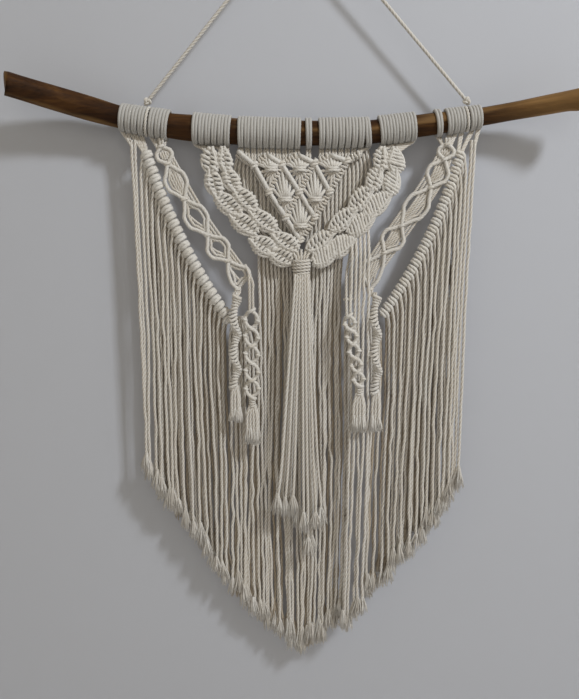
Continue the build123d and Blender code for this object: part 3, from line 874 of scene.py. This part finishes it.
def net():
    """The centre net: smooth bars one way, hitched bars the other, knots where they cross."""
    bundle = Bundle()
    for upper, lower in zip(NET_ROWS, NET_ROWS[1:]):
        for index, place in enumerate(lower):
            foot = at(*place, NET_Y)
            for way, end in zip((1, -1), upper[index:index + 2]):
                top = at(*end, NET_Y)
                along = unit(foot - top)
                if way > 0:
                    bar = [top * 0.93 + foot * 0.07, top * 0.76 + foot * 0.24 + FRONT * 3.6,
                           top * 0.26 + foot * 0.74 + FRONT * 3.6, top * 0.07 + foot * 0.93 + FRONT * 0.5]
                    bundle.rope(bar, NET_BAR, -0.8, groove=0.92)
                    bundle.rope([top + [-1.6, 1.6, -3.4], (top + foot) / 2 + [-1.4, 0.6, -3.4],
                                 foot + [-1.5, 1, -1.5]], 1.5)
                else:
                    wrapped_bar(bundle, top + along * 1.5, foot - along * 1.5, R, 1.4, 3.2, 0.8)
            for shift in (-1.3, 1.5):
                loop(bundle, foot + FRONT * 1.2 + DOWN * shift, np.array([2.7, 0, 0.9]), FRONT * 2.6, 1.65,
                     count=10, groove=0.86)
    bundle.piece("net_of_hitched_bars", "curtain", ["diamond_net"])


def opening_round(centre):
    """The four corners of the net's opening around a flower: top, left, right and foot."""
    for above, sides, below in zip(NET_ROWS, NET_ROWS[1:], NET_ROWS[2:]):
        for left, right in zip(sides, sides[1:]):
            if left[0] < centre[0] < right[0] and left[1] - 2 < BRANCH_Z - centre[2] < left[1] + 20:
                middle_x = (left[0] + right[0]) / 2
                top = min(above, key=lambda c: abs(c[0] - middle_x))
                foot = min(below, key=lambda c: abs(c[0] - middle_x))
                return [at(*c, NET_Y) for c in (top, left, right, foot)]
    raise ValueError("no opening around the flower")


def flowers():
    """A square knot in each opening, with strands fanning up and down from it."""
    bundle = Bundle()
    for solid in solids("net_flowers"):
        centre = middle(solid)
        top, left, right, foot = opening_round(centre)
        for index in range(7):
            share = abs(index - 3) / 3
            side_corner = left if index < 3 else right
            start = top + (side_corner - top) * share * 0.82
            end = foot + (side_corner - foot) * share * 0.72
            spread = (index - 3) * 1.35
            pinch = centre + [spread, 1.6, 1.4]
            drop = centre + [spread, 1.6, -1.8]
            bulge = FRONT * (3.2 - 1.4 * share)
            petal = [start + [0, 0.4, 0], (start + pinch) / 2 + bulge * 0.8,
                     pinch + (start - pinch) * 0.24 + bulge, pinch]
            bundle.rope(petal, 1.75, rng.uniform(-1, -0.2), groove=0.88)
            bundle.rope([drop, (drop + end) / 2 + FRONT * 1.4, end + [0, 1.0, 0]], 1.55, rng.uniform(-1, 0.3))
        for drop, lift in ((-1.2, 3.4), (1.3, 3.2)):
            knot = [(-5.4, 2.4, drop), (-4.8, -0.2, drop), (-2, -lift + 0.4, drop * 0.8),
                    (2, -lift + 0.4, drop * 0.8), (4.8, -0.2, drop), (5.4, 2.4, drop)]
            bundle.rope([centre + place for place in knot], 1.5, -0.6, groove=0.84)
    bundle.piece("square_knot_flowers", "curtain", ["net_flowers"])


def side_strands():
    """Straight strands beside the net, from the heads or its edge down behind the leaves."""
    for side in SIDES:
        bundle = Bundle()
        for x, y, top, bottom in layers("side_strands_" + side)[0]:
            start = at(x * 0.93, net_edge(x * 0.93) - 4, y) if abs(x) > 36 else at(x, top - 2, y - 3)
            route = [start, at(x, top + 8, y), at(x + rng.normal(0, 0.5), (top + bottom) / 2, y),
                     at(x, bottom, y)]
            bundle.rope(route, 1.6, rng.uniform(-0.6, 0.6), lay=STRAND_LAY)
            # the copy behind gets tone 0.8, warmer and darker than the front strand: painted shade
            bundle.rope(np.array(route) + [1.9, 4.0, 0], 1.6, 0.8, lay=STRAND_LAY, step=BACK_STEP)
        bundle.piece("strands_beside_net_" + side, "curtain", ["side_strands_" + side])


def gathering():
    """The wrap at the V's tip, over the bundle that it gathers."""
    low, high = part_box("gathering_knot")
    low, high = np.array(low) / MM, np.array(high) / MM
    centre = (low + high) / 2
    half = (high - low) / 2
    bundle = Bundle()
    turns = 5
    for index in range(turns):
        z = high[2] - 1.6 - (high[2] - low[2] - 3.2) * index / (turns - 1)
        swell = 1.0 - 0.12 * abs(index - 1.5) / 2
        loop(bundle, np.array([centre[0], centre[1], z]), np.array([(half[0] - R) * swell, 0, 0.5]),
             np.array([0, (half[1] - R) * 0.85 * swell, 0]), 1.6, tone=-0.6, count=16, start=1.6)
    for x in np.linspace(-5, 5, 5):
        bundle.rope([centre + [x * 1.9, 3, half[2] + 9], centre + [x, -1.5, half[2] + 1], centre + [x, 0, 0],
                     centre + [x, -2, -half[2] - 5]], R)
    bundle.piece("gathering_wrap", "curtain", ["gathering_knot"])


TASSEL_ENDS = [(-25, 382), (-21, 386), (-17, 383), (-13, 389), (-9, 380), (-2, 400), (2, 403),
               (6, 401), (6.5, 430), (10, 428), (14.5, 398), (20, 396)]


def tassel():
    """The front tassel: strands from the gathering wrap that spread into three tufts."""
    low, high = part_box("centre_tassel")
    top = BRANCH_Z - high[2] / MM
    centre_y = (low[1] + high[1]) / 2 / MM
    joint = blend_at("curtain", "centre_tassel", -0.0135, 132, 148)
    count = len(TASSEL_ENDS)
    ends = Bundle()
    for index, (x, drop) in enumerate(TASSEL_ENDS):
        start = -7.2 + 13.0 * index / (count - 1)
        y = centre_y + (3.2 if index % 2 else -2.6)
        bundle = Bundle()
        route = [at(start, top - 8, centre_y + (y - centre_y) * 0.7), at(start * 1.12, top + 12, y),
                 at(start + (x - start) * 0.45, top + 110, y), at(start + (x - start) * 0.74, top + 185, y),
                 *hang(x, y, top + 228, drop, 0.8)]
        line = hanging_strand(bundle, route, ends=ends)
        piece = bundle.piece("tassel_strand_%02d" % (index + 1), None,
                             ["centre_tassel"] if index == 0 else [], joint)
    ends.piece("tassel_frayed_ends", None, blend=joint)


def out_from_leaf(x, y, top):
    """The way a strand comes out from behind a leaf to the front."""
    return [at(x - 1.5, top - 17, LEAF_Y + 5), at(x - 0.8, top - 9, LEAF_Y + 1), at(x - 0.2, top + 1, y + 5)]


def out_from_spiral(x, y, top):
    """The way a strand behind the tails comes out from behind the spiral."""
    spiral_x = math.copysign(66, x) if abs(x) > 50 else x
    return [at((x + spiral_x) / 2, top - 14, y), at(x + (spiral_x - x) * 0.2, top, y)]


def free_strands(nodes, label, body, each=False, lead=None, set_back=0.0):
    """Strands that hang from behind the knots, as one piece or as one piece for each strand."""
    behind, ends, bundle = Bundle(), Bundle(), Bundle()
    number = 0
    for node in nodes:
        front, back = layers(node)
        for index, (x, y, top, bottom) in enumerate(front):
            number += 1
            route = hang(x, y + set_back, top + (14 if lead else 0), bottom + rng.uniform(-5, 5), 1.5)
            line = hanging_strand(bundle, [*(lead(x, y + set_back, top) if lead else []), *route], ends=ends)
            if each:
                piece = bundle.piece("%s_%02d" % (label, number), body, [node] if index == 0 else [])
                bundle = Bundle()
        for x, y, top, bottom in back:
            route = hang(x, y, top, bottom + rng.uniform(-12, 2), 1.5)
            hanging_strand(behind, route, step=BACK_STEP)
    if not each:
        bundle.piece(label, body, nodes)
    ends.piece(label + "_frayed_ends", body)
    if behind.size:
        # the strands behind take the darker, warmer cotton: painted shade
        behind.piece(label + "_back_layer", body, material=BACK_LAYER_PAINTED_SHADE)


# ---------------------------------------------------------------- tails

def spiral_tail(side):
    """A sennit of half knots that turns as it goes down, then its tuft."""
    body = side + "_spiral_tail"
    centre, along, half = long_axis(solids("spiral_sennit_" + side)[0])
    top, foot = centre + along * half, centre - along * half
    bundle = Bundle()
    for offset in (-1.0, 1.0):
        bundle.rope([top + [offset, 0, 3], foot + [offset, 0, -2]], 1.3)
    count = int(2 * half / 3.1)
    for index in range(count):
        spot = top + (foot - top) * (index + 0.5) / count
        turn = index * math.radians(31)
        wide = np.array([math.cos(turn), math.sin(turn), 0])
        deep = np.array([-math.sin(turn), math.cos(turn), 0])
        loop(bundle, spot + wide * 2.1, wide * 3.5, deep * 2.5, 1.6, tilt=DOWN * 1.6,
             tone=rng.uniform(-1, 0.2), count=10, groove=0.82)
    bundle.piece("half_knot_spiral_" + side, body, ["spiral_sennit_" + side])
    tuft(side, "spiral", foot, body)
    over = Bundle()
    last = at(*BAND_CROSSINGS[side][-1], ROW_Y)
    for offset in (-2.2, 0.0, 2.2):
        over.rope([last + [offset, 0, 3], last + [offset * 0.9, -4, -3], top + [offset * 0.6, -0.5, -1]], 1.4)
    over.piece("cords_into_spiral_" + side, None, blend=blend_at(side + "_wing", body, -0.012, 149, 155))


def tuft(side, kind, foot, body):
    """The loose strands and frayed ends under a tail."""
    node = "%s_tuft_%s" % (kind, side)
    bundle = Bundle()
    for solid in solids(node):
        low, high = solid.min(0), solid.max(0)
        x, y = middle(solid)[:2]
        for shift in (-0.8, 0.9):
            drop = BRANCH_Z - low[2] + rng.uniform(-5, 0)
            start = foot + [(x - foot[0]) * 0.45 + shift * 0.5, shift, 2]
            depth = min(y, foot[1]) + shift
            route = [start, at(x + shift * 0.8, BRANCH_Z - high[2] + 10, depth), at(x + shift, drop, depth)]
            hanging_strand(bundle, route, -0.4, fray=TAIL_FRAY, spread=TAIL_FRAY_SPREAD)
    bundle.piece("frayed_%s_tuft_%s" % (kind, side), body, [node])


LADDER_CELLS = 5
CELL_POINTS = 8
LADDER_BAR = 2.0
LADDER_REACH = {"left": 6.3, "right": 4.8}
LADDER_FORWARD = {"left": 0.0, "right": 7.0}


def ladder_tail(side):
    """An open sennit: two cords that cross to leave eyes, tied at each crossing, a wrap and a tuft."""
    body = "left_ladder_tail" if side == "left" else "right_wing"
    knots = sorted(solids("ladder_sennit_" + side), key=lambda s: -s[:, 2].mean())
    forward = FRONT * LADDER_FORWARD[side]
    centres = np.array([middle(k) for k in knots]) + forward
    pitch = np.linalg.norm(centres[1] - centres[0])
    down = unit(centres[-1] - centres[0])
    across = unit(np.cross(down, FRONT))
    across = across * (1 if across[0] > 0 else -1)
    bundle = Bundle()
    start, end = centres[0] - down * pitch * 0.5, centres[-1] + down * pitch * 0.5
    share = np.linspace(0, LADDER_CELLS, LADDER_CELLS * CELL_POINTS + 1)
    wave = np.sin(math.pi * share)
    for way in (-1, 1):
        swing = (way * np.sign(wave) * np.abs(wave) ** 0.7)[:, None] * across * LADDER_REACH[side]
        depth = (way * 1.6 * np.cos(math.pi * share))[:, None] * FRONT
        route = start + (end - start) * (share / LADDER_CELLS)[:, None] + swing + depth
        bundle.rope(route, LADDER_BAR, -0.4, groove=0.88)
        for cell in range(LADDER_CELLS):
            spot = route[cell * CELL_POINTS + CELL_POINTS // 2] + down * rng.uniform(-1.5, 1.5)
            loop(bundle, spot, across * 1.7, FRONT * 2.0, 1.25, tilt=down * 0.5, groove=0.88)
    for cell in range(LADDER_CELLS + 1):
        spot = start + (end - start) * cell / LADDER_CELLS
        lean = 1.6 * (1 if cell % 2 else -1)
        loop(bundle, spot, across * 3.1, FRONT * 3.0, 1.8, tilt=down * lean, groove=0.88)
    bundle.piece("open_sennit_" + side, body, ["ladder_sennit_" + side])
    centre, along, half = long_axis(solids("ladder_wrap_" + side)[0])
    centre = centre + forward
    bundle = Bundle()
    for index in range(4):
        spot = centre + along * half * (0.78 - 0.52 * index)
        loop(bundle, spot, np.array([2.5, 0, 0.3]), np.array([0, 2.5, 0]), 1.35, tone=-0.6, start=1.6)
    bundle.rope([centre + along * (half + 3), centre - along * (half + 3)], 2.2)
    bundle.piece("short_wrap_" + side, body, ["ladder_wrap_" + side])
    tuft(side, "ladder", centre - along * half, body)
    bundle = Bundle()
    for solid in solids("ladder_cords_" + side):
        low, high = solid.min(0), solid.max(0)
        x = middle(solid)[0]
        route = [[x, TAIL_Y + 3, high[2]], [x + rng.uniform(-0.4, 0.4), TAIL_Y, (low[2] + high[2]) / 2],
                 [x, TAIL_Y, low[2] - 2]]
        if side == "right":
            route = [at(x + 5, 100, -3), at(x + 3, 118, -5), *np.array(route[:-1]),
                     np.array(route[-1]) + forward]
            loop(bundle, at(x, 157, TAIL_Y + 1.5), np.array([2.2, 0, 0.4]), FRONT * 2.2, 1.3, groove=0.86)
        else:
            route = [at(-56, 124, ROW_Y + 1), at(-52.5, 131, ROW_Y - 4), at(x, 141, TAIL_Y), *route[1:]]
        bundle.rope(route, R)
    joint = blend_at("left_wing", body, -0.012, 129, 136) if side == "left" else None
    bundle.piece("cords_into_open_sennit_" + side, body, ["ladder_cords_" + side], joint)


# ---------------------------------------------------------------- room

def plain(name, colour):
    """A matt paint."""
    m = Nodes(name)
    m.shade(Base_Color=colour, Roughness=0.9, Specular_IOR_Level=0.1)
    return m


def room():
    """A pale wall that only shows from the front, a pale floor, and soft light."""
    wall_paint = plain("wall_paint", (0.54, 0.56, 0.62, 1))
    choose = wall_paint.new("MixShader")
    sources = (wall_paint.new("NewGeometry").outputs["Backfacing"], wall_paint.shader.outputs[0],
               wall_paint.new("BsdfTransparent").outputs[0])
    for socket, source in zip(choose.inputs, sources):
        wall_paint.put(socket, source)
    wall_paint.put(wall_paint.tree.nodes["Material Output"].inputs["Surface"], choose.outputs[0])
    floor_paint = plain("floor_paint", (0.62, 0.61, 0.60, 1))
    y = WALL_Y * MM
    z = FLOOR_Z * MM
    corners = {
        "wall": [(-4, y, z), (4, y, z), (4, y, 3), (-4, y, 3)],
        "floor": [(-4, -4, z), (4, -4, z), (4, 4, z), (-4, 4, z)],
    }
    for name, paint in (("wall", wall_paint), ("floor", floor_paint)):
        mesh = bpy.data.meshes.new(name)
        mesh.from_pydata(corners[name], [], [(0, 1, 2, 3)])
        mesh.materials.append(paint.material)
        made = add_object(name, mesh)
        if name == "wall":
            made.visible_shadow = False
    world = bpy.data.worlds.new("soft_room")
    bpy.context.scene.world = world
    world.use_nodes = True
    background = world.node_tree.nodes["Background"].inputs
    background["Color"].default_value = WORLD_COLOUR
    background["Strength"].default_value = WORLD_STRENGTH
    for name, place, size, power, colour in LIGHTS:
        light = bpy.data.lights.new(name, "AREA")
        light.size = size
        light.energy = power
        light.color = colour
        made = add_object(name, light)
        made.location = place
        way = Vector(LIGHT_TARGET) - Vector(place)
        made.rotation_euler = way.to_track_quat("-Z", "Y").to_euler()


def camera():
    """The camera: a little above the middle, looking slightly down."""
    data = bpy.data.cameras.new("camera")
    data.lens = CAMERA_LENS
    made = add_object("camera", data)
    made.location = CAMERA_PLACE
    made.rotation_euler = (math.radians(CAMERA_PITCH), 0, 0)
    bpy.context.scene.camera = made


# ---------------------------------------------------------------- the whole piece

branch_mesh()
hanger()
for node in sorted(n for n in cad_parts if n.startswith("mount_knots")):
    larks_heads(node)
for side in SIDES:
    wing(side)
    band(side)
leaf_bands()
net()
flowers()
side_strands()
gathering()
free_strands(["centre_fringe_" + part for part in ("left", "middle", "right")], "centre_strand", "curtain",
             True)
free_strands(["front_strands_right"], "front_strand", "right_wing", True, out_from_leaf, 6.5)
for side in SIDES:
    free_strands(["fringe_behind_tails_" + side], "strands_behind_tails_" + side, side + "_wing",
                 lead=out_from_spiral)
tassel()
for side in SIDES:
    spiral_tail(side)
    ladder_tail(side)
room()
camera()
bpy.context.scene.view_settings.view_transform = "Standard"
